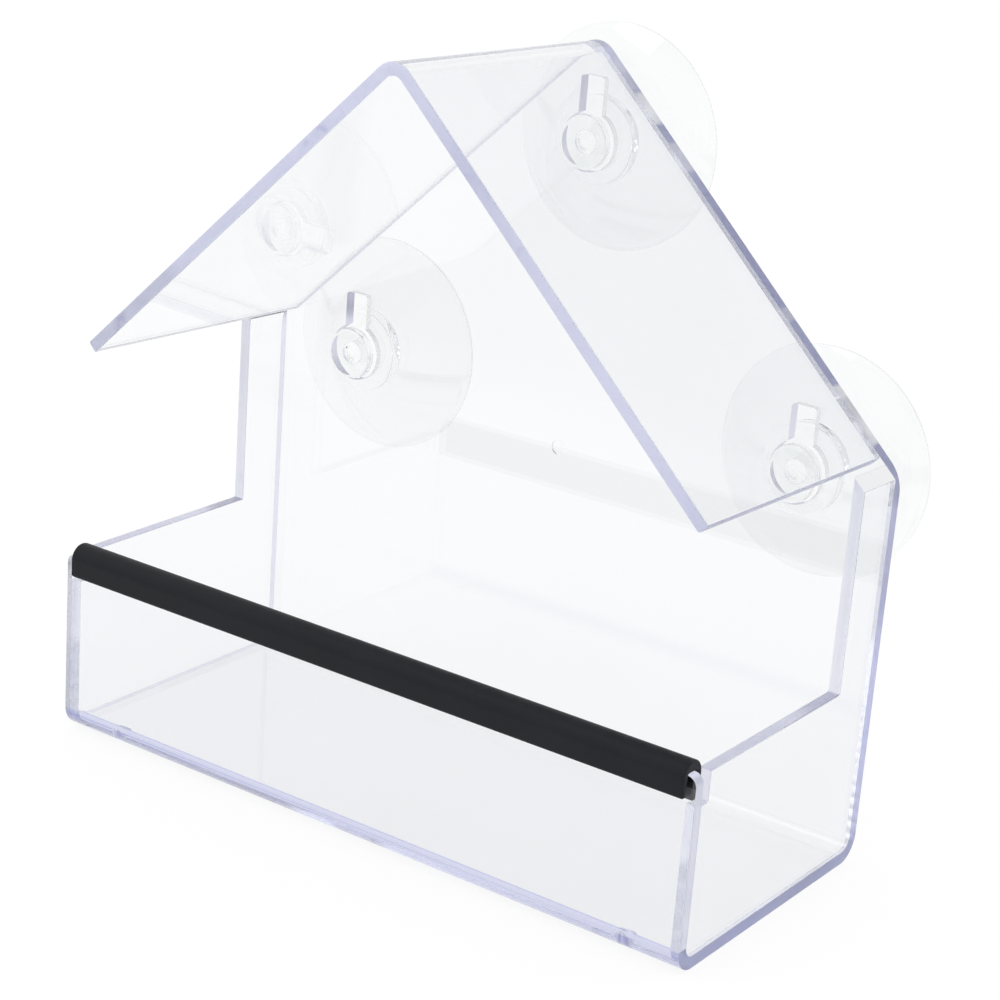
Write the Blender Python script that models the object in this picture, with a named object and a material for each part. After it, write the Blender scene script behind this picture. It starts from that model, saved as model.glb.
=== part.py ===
"""Clear window bird feeder in the shape of a small house, in metres, +Z up.

One bent clear sheet makes the back wall, the floor and the low front wall. Two side panels and a
bent roof are joined to it, a black cover is pushed over the front wall as a perch, and three
suction cups hang in keyholes of the back wall. The front looks along -Y and the window is at +Y.
The origin is on the underside of the floor, at its centre.
"""
import math

import bmesh
import bpy

# Driving sizes of the body
body_width = 0.150
body_depth = 0.065
body_height = 0.150
sheet_thickness = 0.0025
joint_gap = 0.0003
bend_radius = 0.005
front_wall_height = 0.0388
front_corner_radius = 0.002

# Gable and roof
roof_pitch = math.radians(43.7)
ridge_radius = 0.005
eave_corner_radius = 0.008
roof_front_setback = 0.001
roof_side_clearance = 0.0011
roof_back_drop = 0.0018

# Side panels
side_tall_depth = 0.0117

# Drain holes and the moulding gate mark
drain_radius = 0.00175
drain_side_distance = 0.013
drain_front_distance = 0.0045
gate_mark_radius = 0.0015
gate_mark_depth = 0.0004
gate_mark_height = 0.066

# Keyholes
keyhole_radius = 0.006
keyhole_slot_width = 0.0054
keyhole_slot_reach = 0.0128
keyhole_slot_corner_radius = 0.0008
keyhole_ridge_distance = 0.0204
keyhole_side_distance = 0.0215
keyhole_eave_distance = 0.0044

# Perch cover
cover_wall = 0.00145
cover_channel_clearance = 0.0003
cover_crown_thickness = 0.0022
cover_front_leg = 0.0036
cover_back_leg = 0.0051
cover_end_inset = 0.0015

# Suction cups
knob_clearance = 0.0005
knob_length = 0.0014
knob_edge_radius = 0.0009
dimple_radius = 0.00175
dimple_depth = 0.0007
dimple_floor_share = 0.6
neck_clearance = 0.0003
collar_radius = 0.00875
collar_edge_radius = 0.0006
disc_radius = 0.023
disc_reach = 0.010
disc_dome_height = 0.007
disc_hollow_depth = 0.0052
lip_width = 0.0010
lip_thickness = 0.0008

# Facets
bend_steps = 8
corner_steps = 6
hole_steps = 36
turn_steps = 36
knob_edge_steps = 3
dome_steps = 7

# Cutters run this far past what they cut
cutter_overrun = 0.002

# Derived places
half_width = body_width / 2
front_face = -body_depth / 2
back_face = body_depth / 2
front_inside = front_face + sheet_thickness
back_inside = back_face - sheet_thickness
inner_bend_radius = bend_radius - sheet_thickness
roof_front = front_face + roof_front_setback
roof_back = back_inside - joint_gap
front_ridge_height = body_height + ridge_radius * (1 / math.cos(roof_pitch) - 1)
gable_ridge_height = front_ridge_height - roof_back_drop
eave_height = gable_ridge_height - half_width * math.tan(roof_pitch)
cover_half_channel = sheet_thickness / 2 + cover_channel_clearance
cover_half_thickness = cover_half_channel + cover_wall
cover_centre_y = front_face + sheet_thickness / 2
cover_centre_z = front_wall_height + cover_channel_clearance + cover_crown_thickness - cover_half_thickness
knob_radius = keyhole_radius - knob_clearance
neck_radius = keyhole_slot_width / 2 - neck_clearance
keyhole_x = half_width - keyhole_side_distance
keyhole_low_height = eave_height - keyhole_eave_distance
keyhole_places = {
    "top": (0.0, body_height - roof_back_drop - keyhole_ridge_distance),
    "left": (-keyhole_x, keyhole_low_height),
    "right": (keyhole_x, keyhole_low_height),
}

materials = {}


def clear_scene():
    for item in list(bpy.data.objects):
        bpy.data.objects.remove(item, do_unlink=True)


def make_material(name, colour, roughness, transmission):
    material = bpy.data.materials.new(name)
    material.use_nodes = True
    shader = material.node_tree.nodes["Principled BSDF"]
    shader.inputs["Base Color"].default_value = (*colour, 1.0)
    shader.inputs["Roughness"].default_value = roughness
    shader.inputs["Metallic"].default_value = 0.0
    shader.inputs["Transmission Weight"].default_value = transmission
    material.diffuse_color = (*colour, 1.0)
    materials[name] = material


def rounded_path(corners, steps, closed=False):
    """Points of a path through corners (u, v, radius), each corner rounded by its radius."""
    points = []
    count = len(corners)
    for index, (u, v, radius) in enumerate(corners):
        is_end = not closed and index in (0, count - 1)
        if radius == 0 or is_end:
            points.append((u, v))
            continue
        before = corners[index - 1]
        after = corners[(index + 1) % count]
        to_before = (before[0] - u, before[1] - v)
        to_after = (after[0] - u, after[1] - v)
        before_length = math.hypot(*to_before)
        after_length = math.hypot(*to_after)
        b = (to_before[0] / before_length, to_before[1] / before_length)
        a = (to_after[0] / after_length, to_after[1] / after_length)
        half_angle = math.acos(b[0] * a[0] + b[1] * a[1]) / 2
        middle = (a[0] + b[0], a[1] + b[1])
        middle_length = math.hypot(*middle)
        reach = radius / math.sin(half_angle)
        centre = (u + middle[0] / middle_length * reach, v + middle[1] / middle_length * reach)
        tangent = radius / math.tan(half_angle)
        start = math.atan2(v + b[1] * tangent - centre[1], u + b[0] * tangent - centre[0])
        sweep = math.pi - 2 * half_angle
        if b[0] * a[1] - b[1] * a[0] > 0:
            sweep = -sweep
        for step in range(steps + 1):
            angle = start + sweep * step / steps
            points.append((centre[0] + radius * math.cos(angle), centre[1] + radius * math.sin(angle)))
    return points


def finish_object(name, mesh_builder, material, smooth_angle=math.radians(35)):
    """Turn a filled bmesh into a named, shaded object."""
    bmesh.ops.recalc_face_normals(mesh_builder, faces=mesh_builder.faces)
    mesh = bpy.data.meshes.new(name)
    mesh_builder.to_mesh(mesh)
    mesh_builder.free()
    mesh.shade_smooth()
    mesh.set_sharp_from_angle(angle=smooth_angle)
    if material:
        mesh.materials.append(materials[material])
    item = bpy.data.objects.new(name, mesh)
    bpy.context.scene.collection.objects.link(item)
    return item


def add_loop(builder, points):
    return [builder.verts.new(point) for point in points]


def bridge(builder, first, second, closed):
    """Faces between two rows of vertices of equal length."""
    count = len(first)
    last = count if closed else count - 1
    for index in range(last):
        after = (index + 1) % count
        builder.faces.new((first[index], first[after], second[after], second[index]))


def prism(builder, first, second):
    """Closed body between two closed loops of equal length, capped at both ends."""
    first_loop = add_loop(builder, first)
    second_loop = add_loop(builder, second)
    bridge(builder, first_loop, second_loop, closed=True)
    builder.faces.new(first_loop)
    builder.faces.new(second_loop)


def bent_sheet(builder, outer, inner, place):
    """Sheet whose two skins follow outer and inner paths; place(point, end) gives a 3D position.

    Both ends are closed. The first and last rows are left open and returned, each as a table of
    its four vertices by skin and end.
    """
    rows = {}
    for end in (0, 1):
        rows["outer", end] = add_loop(builder, [place(point, end) for point in outer])
        rows["inner", end] = add_loop(builder, [place(point, end) for point in inner])
        bridge(builder, rows["outer", end], rows["inner", end], closed=False)
    bridge(builder, rows["outer", 0], rows["outer", 1], closed=False)
    bridge(builder, rows["inner", 0], rows["inner", 1], closed=False)
    first_row = {key: row[0] for key, row in rows.items()}
    last_row = {key: row[-1] for key, row in rows.items()}
    return first_row, last_row


def close_row(builder, row):
    builder.faces.new([row["outer", 0], row["outer", 1], row["inner", 1], row["inner", 0]])


def raise_wall(builder, row, depths, outline):
    """Flat wall that carries on from an open row of a bent sheet, with an outline (x, z)."""
    skins = {}
    for skin, y in depths.items():
        arch = add_loop(builder, [(x, y, z) for x, z in outline])
        skins[skin] = [row[skin, 0], *arch, row[skin, 1]]
        builder.faces.new(skins[skin])
    bridge(builder, skins["outer"], skins["inner"], closed=False)


def cut(target, cutter):
    cutter.hide_render = True
    cutter.display_type = "WIRE"
    modifier = target.modifiers.new(cutter.name, "BOOLEAN")
    modifier.operation = "DIFFERENCE"
    modifier.solver = "EXACT"
    modifier.object = cutter


def keyhole_outline():
    """Round hole with a slot rising from it, about the centre of the round hole."""
    half_slot = keyhole_slot_width / 2
    mouth_angle = math.acos(half_slot / keyhole_radius)
    sweep = 2 * math.pi - (math.pi - 2 * mouth_angle)
    points = []
    for step in range(hole_steps + 1):
        angle = math.pi - mouth_angle + sweep * step / hole_steps
        points.append((keyhole_radius * math.cos(angle), keyhole_radius * math.sin(angle)))
    slot = rounded_path([
        (half_slot, 0.0, 0),
        (half_slot, keyhole_slot_reach, keyhole_slot_corner_radius),
        (-half_slot, keyhole_slot_reach, keyhole_slot_corner_radius),
        (-half_slot, 0.0, 0),
    ], corner_steps)
    return points + slot[1:-1]


def circle(radius, steps):
    return [(radius * math.cos(2 * math.pi * step / steps), radius * math.sin(2 * math.pi * step / steps))
            for step in range(steps)]


def keyhole_cutter():
    builder = bmesh.new()
    for x, z in keyhole_places.values():
        near = [(x + u, back_inside - cutter_overrun, z + v) for u, v in keyhole_outline()]
        far = [(px, back_face + cutter_overrun, pz) for px, _, pz in near]
        prism(builder, near, far)
    return finish_object("keyhole_cutter", builder, None)


def drain_cutter():
    builder = bmesh.new()
    for side in (-1, 1):
        x = side * (half_width - drain_side_distance)
        y = front_face + drain_front_distance
        low = [(x + u, y + v, -cutter_overrun) for u, v in circle(drain_radius, hole_steps)]
        high = [(px, py, bend_radius + cutter_overrun) for px, py, _ in low]
        prism(builder, low, high)
    return finish_object("drain_cutter", builder, None)


def gate_mark_cutter():
    builder = bmesh.new()
    near = [(u, back_inside - cutter_overrun, gate_mark_height + v)
            for u, v in circle(gate_mark_radius, hole_steps)]
    far = [(px, back_inside + gate_mark_depth, pz) for px, _, pz in near]
    prism(builder, near, far)
    return finish_object("gate_mark_cutter", builder, None)


def build_body_sheet():
    """Front wall, floor and gabled back wall, bent from one clear sheet."""
    builder = bmesh.new()
    outer = rounded_path([
        (front_face, front_wall_height, 0), (front_face, 0.0, bend_radius),
        (back_face, 0.0, bend_radius), (back_face, eave_height, 0),
    ], bend_steps)[1:-1]
    inner = rounded_path([
        (front_inside, front_wall_height, 0), (front_inside, sheet_thickness, inner_bend_radius),
        (back_inside, sheet_thickness, inner_bend_radius), (back_inside, eave_height, 0),
    ], bend_steps)[1:-1]

    def place(point, end):
        return (half_width if end else -half_width, point[0], point[1])

    front_row, back_row = bent_sheet(builder, outer, inner, place)
    front_wall = rounded_path([
        (-half_width, bend_radius, 0), (-half_width, front_wall_height, front_corner_radius),
        (half_width, front_wall_height, front_corner_radius), (half_width, bend_radius, 0),
    ], corner_steps)[1:-1]
    gable = rounded_path([
        (-half_width, bend_radius, 0), (-half_width, eave_height, eave_corner_radius),
        (0.0, gable_ridge_height, ridge_radius),
        (half_width, eave_height, eave_corner_radius), (half_width, bend_radius, 0),
    ], bend_steps)[1:-1]
    raise_wall(builder, front_row, {"outer": front_face, "inner": front_inside}, front_wall)
    raise_wall(builder, back_row, {"outer": back_face, "inner": back_inside}, gable)

    sheet = finish_object("body_sheet", builder, "clear_sheet")
    cut(sheet, keyhole_cutter())
    cut(sheet, drain_cutter())
    cut(sheet, gate_mark_cutter())
    return sheet


def roof_fall(y):
    """How far the roof has come down at a depth y, on its even fall from front to back."""
    return roof_back_drop * (y - roof_front) / (roof_back - roof_front)


def roof_plane_height(x, y):
    """Height of the roof's upper face over a place x at a depth y, without the ridge rounding."""
    return front_ridge_height - abs(x) * math.tan(roof_pitch) - roof_fall(y)


def build_side_panel(name, side):
    """Side wall: low beside the tray, tall at the back, its top sloped with the roof.

    A notch in its front corner leaves room for the inner leg of the perch cover.
    """
    front = front_inside + joint_gap
    back = back_inside - joint_gap
    floor = sheet_thickness + joint_gap
    corner_radius = inner_bend_radius - joint_gap
    notch_back = cover_centre_y + cover_half_thickness + joint_gap
    notch_floor = cover_centre_z - cover_back_leg - joint_gap
    tall_front = back - side_tall_depth
    loops = []
    for x in (half_width - sheet_thickness, half_width):
        path = rounded_path([
            (front, notch_floor, 0), (front, floor, corner_radius), (back, floor, corner_radius),
            (back, roof_plane_height(x, back), 0), (tall_front, roof_plane_height(x, tall_front), 0),
            (tall_front, front_wall_height, 0),
            (notch_back, front_wall_height, 0), (notch_back, notch_floor, 0),
        ], corner_steps, closed=True)
        loops.append([(side * x, y, z) for y, z in path])
    builder = bmesh.new()
    prism(builder, loops[0], loops[1])
    return finish_object(name, builder, "clear_sheet")


def build_roof():
    """Sheet bent along the ridge, its eave ends cut square to the slope, falling a little to the back."""
    eave_x = half_width - sheet_thickness - roof_side_clearance
    eave_z = roof_plane_height(eave_x, roof_front)
    inner_eave_x = eave_x - sheet_thickness * math.sin(roof_pitch)
    inner_eave_z = eave_z - sheet_thickness * math.cos(roof_pitch)
    inner_ridge = front_ridge_height - sheet_thickness / math.cos(roof_pitch)
    outer = rounded_path([
        (-eave_x, eave_z, 0), (0.0, front_ridge_height, ridge_radius), (eave_x, eave_z, 0),
    ], bend_steps)
    inner = rounded_path([
        (-inner_eave_x, inner_eave_z, 0), (0.0, inner_ridge, ridge_radius - sheet_thickness),
        (inner_eave_x, inner_eave_z, 0),
    ], bend_steps)
    ends = (roof_front, roof_back)

    def place(point, end):
        return (point[0], ends[end], point[1] - roof_fall(ends[end]))

    builder = bmesh.new()
    for eave_row in bent_sheet(builder, outer, inner, place):
        close_row(builder, eave_row)
    return finish_object("roof", builder, "clear_sheet")


def build_perch_cover():
    """Half-round channel pushed over the top of the front wall; its feet are rounded."""
    foot_radius = cover_wall / 2
    channel_top = front_wall_height + cover_channel_clearance
    path = []
    for step in range(2 * bend_steps + 1):
        angle = math.pi * step / (2 * bend_steps)
        path.append((cover_centre_y + cover_half_thickness * math.cos(angle),
                     cover_centre_z + cover_half_thickness * math.sin(angle)))
    for side, leg in ((-1, cover_front_leg), (1, cover_back_leg)):
        foot_y = cover_centre_y + side * (cover_half_channel + foot_radius)
        foot_z = cover_centre_z - leg + foot_radius
        foot = [(foot_y + foot_radius * math.cos(angle), foot_z + foot_radius * math.sin(angle))
                for angle in (math.pi + math.pi * step / corner_steps for step in range(corner_steps + 1))]
        inside_top = (cover_centre_y + side * cover_half_channel, channel_top)
        if side < 0:
            path += [*foot, inside_top]
        else:
            path += [inside_top, *foot]
    builder = bmesh.new()
    reach = half_width - cover_end_inset
    prism(builder, [(-reach, py, pz) for py, pz in path], [(reach, py, pz) for py, pz in path])
    return finish_object("perch_cover", builder, "black_cover")


def cup_profile():
    """Half section (radius, depth) of a cup, depth counted from the front of the back wall."""
    knob_back = -joint_gap
    knob_front = knob_back - knob_length
    collar_front = sheet_thickness + joint_gap
    rim = sheet_thickness + disc_reach
    profile = [(0.0, knob_front + dimple_depth)]
    profile.append((dimple_radius * dimple_floor_share, knob_front + dimple_depth))
    profile.append((dimple_radius, knob_front))
    for step in range(knob_edge_steps + 1):
        angle = math.pi / 2 * step / knob_edge_steps
        profile.append((knob_radius - knob_edge_radius * (1 - math.sin(angle)),
                        knob_front + knob_edge_radius * (1 - math.cos(angle))))
    profile += [(knob_radius, knob_back), (neck_radius, knob_back)]
    profile += [(neck_radius, collar_front), (collar_radius - collar_edge_radius, collar_front)]
    profile.append((collar_radius, collar_front + collar_edge_radius))
    dome_rim = rim - lip_thickness
    for step in range(dome_steps + 1):
        radius = collar_radius + (disc_radius - collar_radius) * step / dome_steps
        rise = 1 - (radius / disc_radius) ** 2
        profile.append((radius, dome_rim - disc_dome_height * rise))
    profile.append((disc_radius, rim))
    hollow_radius = disc_radius - lip_width
    for step in range(dome_steps):
        share = 1 - step / dome_steps
        profile.append((hollow_radius * share, rim - disc_hollow_depth * (1 - share ** 2)))
    profile.append((0.0, rim - disc_hollow_depth))
    return profile


def build_suction_cup(name, place):
    """One soft cup turned about its axis; its origin is in its keyhole, on the sliding line."""
    builder = bmesh.new()
    profile = cup_profile()
    rings = []
    for radius, depth in profile[1:-1]:
        rings.append(add_loop(builder, [(u, depth, v) for u, v in circle(radius, turn_steps)]))
    for first, second in zip(rings, rings[1:]):
        bridge(builder, first, second, closed=True)
    for ring, (_, depth) in ((rings[0], profile[0]), (rings[-1], profile[-1])):
        centre = builder.verts.new((0.0, depth, 0.0))
        for index in range(turn_steps):
            builder.faces.new((centre, ring[index], ring[(index + 1) % turn_steps]))
    cup = finish_object(name, builder, "clear_cup")
    cup.location = (place[0], back_inside, place[1])
    return cup


def main():
    clear_scene()
    make_material("clear_sheet", (0.86, 0.87, 0.95), 0.05, 0.9)
    make_material("black_cover", (0.026, 0.026, 0.029), 0.55, 0.0)
    make_material("clear_cup", (0.90, 0.92, 0.94), 0.15, 0.85)
    build_body_sheet()
    build_side_panel("left_side_panel", -1)
    build_side_panel("right_side_panel", 1)
    build_roof()
    build_perch_cover()
    for place_name, place in keyhole_places.items():
        build_suction_cup(f"{place_name}_suction_cup", place)


main()
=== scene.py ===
"""Looks of a clear window bird feeder, built around its packed frame, in metres, +Z up."""
import math

import bmesh
import bpy
from mathutils import Matrix, Vector


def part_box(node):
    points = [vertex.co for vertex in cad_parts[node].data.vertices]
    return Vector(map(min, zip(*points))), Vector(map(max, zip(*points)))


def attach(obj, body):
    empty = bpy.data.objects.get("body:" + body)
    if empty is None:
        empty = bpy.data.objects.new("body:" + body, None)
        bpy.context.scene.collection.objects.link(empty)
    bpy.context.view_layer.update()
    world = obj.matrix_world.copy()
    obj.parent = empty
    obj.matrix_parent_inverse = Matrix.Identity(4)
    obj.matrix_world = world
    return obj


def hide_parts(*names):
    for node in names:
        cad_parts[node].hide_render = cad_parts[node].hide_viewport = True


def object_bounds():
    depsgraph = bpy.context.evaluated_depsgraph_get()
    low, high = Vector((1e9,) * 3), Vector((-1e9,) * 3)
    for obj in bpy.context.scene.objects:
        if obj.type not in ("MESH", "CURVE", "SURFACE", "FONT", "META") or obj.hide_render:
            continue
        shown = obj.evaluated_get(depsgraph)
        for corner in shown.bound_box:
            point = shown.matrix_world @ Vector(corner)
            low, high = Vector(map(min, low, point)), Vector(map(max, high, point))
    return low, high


bl_info = {
    "name": "Clear window bird feeder",
    "version": (1, 0, 0),
    "blender": (4, 5, 0),
    "location": "View3D > Sidebar > Bird feeder",
    "description": "Builds a window bird feeder: clear house, black perch cover, suction cups and studio",
    "category": "Object",
}

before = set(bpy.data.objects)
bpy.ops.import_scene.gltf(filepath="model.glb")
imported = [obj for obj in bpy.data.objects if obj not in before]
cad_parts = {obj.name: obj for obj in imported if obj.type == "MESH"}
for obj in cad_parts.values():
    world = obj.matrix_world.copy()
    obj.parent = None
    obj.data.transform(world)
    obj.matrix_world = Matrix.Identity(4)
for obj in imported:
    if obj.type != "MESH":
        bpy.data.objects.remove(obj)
cad_low, cad_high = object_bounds()
sheet_low, sheet_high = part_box("body_sheet")
cover_low, cover_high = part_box("perch_cover")
roof_low, roof_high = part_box("roof")
cup_boxes = {place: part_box(f"{place}_suction_cup") for place in ("top", "left", "right")}

# Finishes of the clear sheet, in the order of its materials; the cut edges, the bend's underside and the
# side panels' tops among them are painted light and shade, lighter or darker at each place.
finish_names = ("polished_sheet", "bent_sheet", "welded_seam", "tall_panel_edge", "pale_panel_top",
                "tray_edge", "roof_edge", "body_edge", "floor_edge", "gable_edge")
(polished_face, floor_bend, welded_seam, tall_edge, tall_top,
 tray_edge, roof_edge, body_edge, floor_edge, gable_edge) = range(len(finish_names))
sharp_angle = math.radians(32)
cup_sharp_angle = math.radians(50)
edge_segments = 2
cover_end_segments = 3
# The front bend's underside is painted shade, darker lilac than the faces, for how light passes through the
# bend (the lilac hue is the plastic's own edge tint), up to this share of its radius, where it faces this
# much to front or back.
painted_bend_share = 0.8
painted_bend_facing = 0.15
# A side panel's edge counts as its top where it faces up this much; that top is painted light, near white
# and nearly opaque for the light that the clear top passes on.
pale_top_facing = 0.5
# Full weight gives a corner's shading to its large faces.
large_face_weight = 100
white = (1.0, 1.0, 1.0, 1.0)
# Painted glints, pale stretches of the gable's sloping edge where it passes on light: lowest height, highest
# height, share of the flare colour.
gable_flares = (
    (0.0840, 0.0926, 1.00),
    (0.1034, 0.1048, 0.55),
    (0.1273, 0.1314, 0.55),
    (0.1350, 0.1396, 1.00),
    (0.1406, 0.1500, 0.40),
)
flare_fade = 0.0005
flare_rest = 0.14
# Fineness of each surface's hairline scuffs, and of its smudges or patches.
sheet_wear = (70.0, 24.0)
fine_edge_wear = (160.0, 60.0)
broad_edge_wear = (160.0, 40.0)
gable_wear = (60.0, 45.0)
cup_wear = (120.0, 60.0)
cover_wear = (160.0, 80.0)
# Scuffs run in stretched noise; a band of each noise counts as wear.
scuff_turn = (0.4, 0.7, 0.5)
scuff_stretch = (1.0, 9.0, 1.0)
scuff_detail = 5.0
scuff_band = (0.62, 0.78)
smudge_detail = 3.0
smudge_band = (0.45, 0.75)
smudge_share = 0.5
grain_detail = 2.0
# What full wear does to each colour and roughness.
sheet_dulling = 0.985
sheet_worn_roughness = 0.03
edge_roughening = 1.5
cup_dulling = 0.97
cup_roughening = 2.5
cover_rubbing = 1.7
cover_roughening = 1.25


def setting(kind, **fixed):
    """Maker of one kind of setting; each has its own name, description and default."""
    def make(name, description, default, **own):
        return kind(name=name, description=description, default=default, **(fixed | own))
    return make


length_size = setting(bpy.props.FloatProperty, min=0.0, precision=5, subtype="DISTANCE", unit="LENGTH")
angle_size = setting(bpy.props.FloatProperty, subtype="ANGLE", unit="ROTATION")
camera_size = setting(bpy.props.FloatProperty, min=1.0, unit="CAMERA")
position = setting(bpy.props.FloatVectorProperty, precision=5, subtype="TRANSLATION", unit="LENGTH")
amount = setting(bpy.props.FloatProperty, min=0.0, soft_max=1.0, precision=4)
count = setting(bpy.props.IntProperty, min=1)
colour = setting(bpy.props.FloatVectorProperty, size=3, min=0.0, max=1.0, subtype="COLOR")


class FeederSheetSettings(bpy.types.PropertyGroup):
    """Clear sheet that the house is made of."""

    thickness: length_size("Thickness", "Thickness of every clear sheet", 0.0025)
    seam_gap: length_size("Seam gap", "Gap that the frame leaves between neighbouring sheets", 0.0003)
    weld: length_size("Weld", "How far a welded edge sinks into the sheet that it meets", 0.00005)
    edge_round: length_size("Edge round", "Rounding of the polished sheet edges", 0.0003)
    bend_radius: length_size("Bend radius", "Outside radius of the two floor bends", 0.005)
    front_height: length_size("Front wall height", "Front wall's height over the floor's underside", 0.0388)
    front_corner: length_size("Front corner radius", "Rounding of the front wall's upper corners", 0.002)
    pitch: angle_size("Roof pitch", "Slope of the roof", math.radians(43.7))
    ridge_radius: length_size("Ridge radius", "Outside radius of the bend along the ridge", 0.005)
    eave_corner: length_size("Eave corner radius", "Rounding of the back wall's eave corners", 0.008)
    tall_depth: length_size("Tall depth", "Depth of the tall part of the side panels", 0.0117)
    bend_steps: count("Bend steps", "Facets round each bend", 24)
    corner_steps: count("Corner steps", "Facets round each small corner", 12)
    face_colour: colour("Face colour", "Colour of the sheet's polished faces", (0.944, 0.950, 0.963))
    # Painted shade: the front bend's underside is darker lilac than the faces, for how light passes through
    # the bend; the lilac hue is the plastic's own edge tint.
    bend_colour: colour("Bend colour", "Colour of the front floor bend's underside", (0.49, 0.51, 0.80))
    seam_colour: colour("Seam colour", "Colour of the welded seams", (0.93, 0.935, 0.985))
    # The edge colours below are painted light and shade: the same cut edge, lighter or darker at each place
    # for how light passes along it; their lilac hue is the plastic's own edge tint.
    tall_colour: colour("Tall edge colour", "Colour of the side panels' tall edges", (0.97, 0.975, 0.995))
    # Painted light: near white and nearly opaque, the side panels' tops stand in for the light that the
    # clear tops pass on.
    top_colour: colour("Top colour", "Colour of the side panels' sanded tops", (0.98, 0.98, 0.99))
    tray_colour: colour("Tray edge colour", "Colour of the edges round the tray", (0.83, 0.84, 0.98))
    roof_colour: colour("Roof edge colour", "Colour of the roof's edges", (0.66, 0.67, 0.90))
    body_colour: colour("Body edge colour", "Colour of the back wall's upright edges", (0.29, 0.31, 0.58))
    floor_edge_colour: colour("Floor edge colour", "Colour of the floor's end edges", (0.16, 0.175, 0.38))
    # Painted shade: the gable's sloping edges are the darkest level, broken by painted glints of the flare
    # colour.
    gable_colour: colour("Gable edge colour", "Colour of the gable's sloping edges", (0.16, 0.18, 0.50))
    flare_colour: colour("Flare colour", "Colour where the gable's edge catches light", (0.97, 0.975, 1.0))
    # Painted light: a cut edge is paler where seen from inside the sheet.
    inside_colour: colour("Inside colour", "Colour of a cut edge from inside the sheet", (0.84, 0.85, 0.96))
    # The low share keeps the painted-light tops nearly opaque.
    top_clarity: amount("Top clarity", "Share of light that the sanded tops let through", 0.1)
    seam_roughness: amount("Seam roughness", "Roughness of the welded seams", 0.1)
    edge_roughness: amount("Edge roughness", "Roughness of the cut edges", 0.3)
    index: amount("Refractive index", "Refractive index of the clear sheet", 1.49, soft_max=2.0)


class FeederHoleSettings(bpy.types.PropertyGroup):
    """Keyholes, drain holes and gate mark in the body sheet."""

    keyhole_radius: length_size("Keyhole radius", "Radius of a keyhole's round part", 0.006)
    slot_width: length_size("Slot width", "Width of a keyhole's slot", 0.0054)
    slot_reach: length_size("Slot reach", "Slot's end over the middle of the round part", 0.0128)
    slot_corner: length_size("Slot corner radius", "Rounding at the end of the slot", 0.0008)
    drain_radius: length_size("Drain radius", "Radius of a drain hole", 0.00175)
    drain_side: length_size("Drain side distance", "Drain hole's middle from the end of the tray", 0.013)
    drain_front: length_size("Drain front distance", "Drain hole's middle from the front face", 0.0045)
    gate_radius: length_size("Gate mark radius", "Radius of the moulding mark on the back wall", 0.0015)
    gate_depth: length_size("Gate mark depth", "Depth of the moulding mark", 0.0004)
    gate_height: length_size("Gate mark height", "Moulding mark's height over the underside", 0.066)
    hole_steps: count("Hole steps", "Facets round each hole", 72)


class FeederCoverSettings(bpy.types.PropertyGroup):
    """Black perch cover on the front wall."""

    wall: length_size("Wall", "Thickness of the cover's legs", 0.00145)
    clearance: length_size("Clearance", "Gap between the cover and the front wall", 0.0003)
    crown: length_size("Crown", "Thickness of the cover over the wall's edge", 0.0022)
    front_leg: length_size("Front leg", "Front leg's reach below the crown's centre", 0.0036)
    back_leg: length_size("Back leg", "Back leg's reach below the crown's centre", 0.0051)
    end_round: length_size("End round", "Rounding of the cut ends", 0.00035)
    side_shift: length_size("Side shift", "How far the cover sits to the right of the middle", 0.0005)
    end_trim: length_size("End trim", "How much shorter each end is than in the frame", 0.0006)
    colour: colour("Colour", "Colour of the black cover", (0.0085, 0.0092, 0.0132))
    roughness: amount("Roughness", "Roughness of the black cover", 0.52)
    specular: amount("Specular level", "Strength of the black cover's shine", 0.22)
    grain_scale: amount("Grain scale", "Fineness of the cover's grain", 2600.0, soft_max=10000.0)
    grain_strength: amount("Grain strength", "Strength of the cover's grain", 0.35)
    grain_depth: length_size("Grain depth", "Depth of the cover's grain", 0.0001)


class FeederCupSettings(bpy.types.PropertyGroup):
    """Soft clear suction cups."""

    knob_radius: length_size("Knob radius", "Radius of the knob in front of the back wall", 0.0055)
    knob_round: length_size("Knob rounding", "Rounding of the knob's front edge", 0.0009)
    dimple_radius: length_size("Dimple radius", "Radius of the dimple in the knob", 0.00175)
    dimple_floor: amount("Dimple floor", "Share of the dimple's radius that is flat", 0.6)
    dimple_depth: length_size("Dimple depth", "Depth of the dimple in the knob", 0.0007)
    neck_radius: length_size("Neck radius", "Radius of the neck in the keyhole", 0.0024)
    collar_radius: length_size("Collar radius", "Radius of the collar behind the back wall", 0.00875)
    collar_round: length_size("Collar rounding", "Rounding of the collar's front edge", 0.0006)
    dome_height: length_size("Dome height", "Rise of the disc's front from lip to axis", 0.007)
    hollow_depth: length_size("Hollow depth", "Depth of the hollow behind the disc", 0.0052)
    lip_width: length_size("Lip width", "Width of the flat lip", 0.001)
    lip_thickness: length_size("Lip thickness", "Thickness of the lip", 0.0008)
    small_round: length_size("Small rounding", "Rounding of the cup's other corners", 0.0002)
    turn_steps: count("Turn steps", "Facets round a cup", 128)
    corner_steps: count("Corner steps", "Facets round each rounded corner", 6)
    dome_steps: count("Dome steps", "Rings from the collar to the lip", 16)
    colour: colour("Colour", "Colour of the soft clear plastic", (0.955, 0.965, 0.965))
    roughness: amount("Roughness", "Roughness of the soft clear plastic", 0.04)
    index: amount("Refractive index", "Refractive index of the soft clear plastic", 1.5, soft_max=2.0)


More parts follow.
